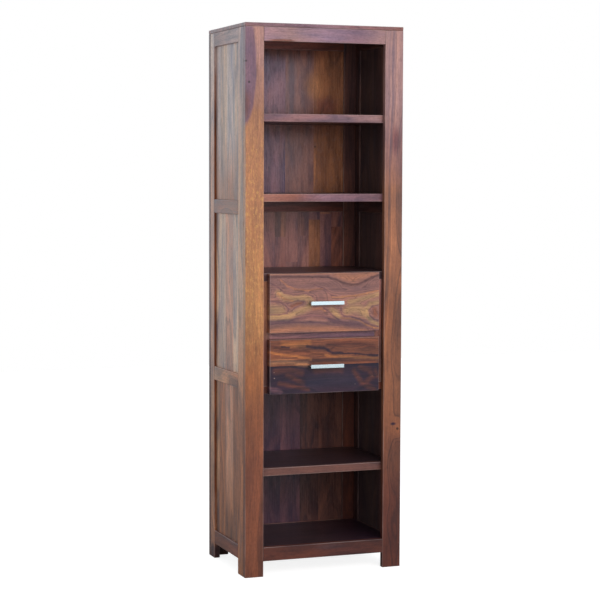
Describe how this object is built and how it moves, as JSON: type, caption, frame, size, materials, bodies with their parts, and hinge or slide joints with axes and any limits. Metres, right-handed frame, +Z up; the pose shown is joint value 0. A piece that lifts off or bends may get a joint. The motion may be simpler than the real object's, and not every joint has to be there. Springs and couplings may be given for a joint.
{
  "type": "bookcase with drawers",
  "caption": "Tall narrow wooden bookcase with frame-and-panel sides and back, open compartments above and below, and stacked drawers with bar pulls in the middle.",
  "frame": {"origin": "on the floor, in the middle of the footprint, drawer pulls included", "axes": "+Z up, the open front with the drawers looks towards -Y, +X to the right seen from the front"},
  "size_m": [0.55, 0.422, 1.8],
  "materials": {
    "frame_wood": "satin lacquered rosewood, brown with dark streaks",
    "panel_wood": "satin lacquered rosewood, glued from vertical planks",
    "shelf_wood": "satin lacquered rosewood, reddish brown",
    "drawer_front_wood": "satin lacquered rosewood with bold figure",
    "drawer_box_wood": "plain light hardwood, thinly lacquered",
    "pull_metal": "satin nickel",
    "bolt_steel": "zinc-plated steel"
  },
  "bodies": {
    "carcass": {"front_left_stile": "frame_wood", "front_right_stile": "frame_wood", "front_top_rail": "frame_wood", "front_bottom_rail": "frame_wood", "left_side_front_stile": "frame_wood", "left_side_back_stile": "frame_wood", "left_side_bottom_rail": "frame_wood", "left_side_lower_rail": "frame_wood", "left_side_upper_rail": "frame_wood", "left_side_top_rail": "frame_wood", "right_side_front_stile": "frame_wood", "right_side_back_stile": "frame_wood", "right_side_bottom_rail": "frame_wood", "right_side_lower_rail": "frame_wood", "right_side_upper_rail": "frame_wood", "right_side_top_rail": "frame_wood", "back_left_stile": "frame_wood", "back_right_stile": "frame_wood", "back_bottom_rail": "frame_wood", "back_lower_rail": "frame_wood", "back_upper_rail": "frame_wood", "back_top_rail": "frame_wood", "left_side_bottom_panel": "panel_wood", "left_side_middle_panel": "panel_wood", "left_side_top_panel": "panel_wood", "right_side_bottom_panel": "panel_wood", "right_side_middle_panel": "panel_wood", "right_side_top_panel": "panel_wood", "back_bottom_panel": "panel_wood", "back_middle_panel": "panel_wood", "back_top_panel": "panel_wood", "top_board": "shelf_wood", "top_shelf": "shelf_wood", "second_shelf": "shelf_wood", "lower_shelf": "shelf_wood", "floor_board": "shelf_wood", "drawer_case_top": "shelf_wood", "drawer_case_bottom": "shelf_wood", "drawer_case_left": "shelf_wood", "drawer_case_right": "shelf_wood", "drawer_divider": "shelf_wood", "runner_left": "drawer_box_wood", "runner_right": "drawer_box_wood"},
    "upper_drawer": {"upper_drawer_front": "drawer_front_wood", "upper_drawer_left_side": "drawer_box_wood", "upper_drawer_right_side": "drawer_box_wood", "upper_drawer_back": "drawer_box_wood", "upper_drawer_bottom": "drawer_box_wood", "upper_drawer_pull": "pull_metal", "upper_drawer_pull_bolt_left": "bolt_steel", "upper_drawer_pull_bolt_right": "bolt_steel"},
    "lower_drawer": {"lower_drawer_front": "drawer_front_wood", "lower_drawer_left_side": "drawer_box_wood", "lower_drawer_right_side": "drawer_box_wood", "lower_drawer_back": "drawer_box_wood", "lower_drawer_bottom": "drawer_box_wood", "lower_drawer_pull": "pull_metal", "lower_drawer_pull_bolt_left": "bolt_steel", "lower_drawer_pull_bolt_right": "bolt_steel"}
  },
  "joints": [
    {"name": "upper_drawer_slide", "type": "slide", "parent": "carcass", "child": "upper_drawer", "axis": [0, -1, 0], "range_m": [0, 0.25]},
    {"name": "lower_drawer_slide", "type": "slide", "parent": "carcass", "child": "lower_drawer", "axis": [0, -1, 0], "range_m": [0, 0.25]}
  ]
}
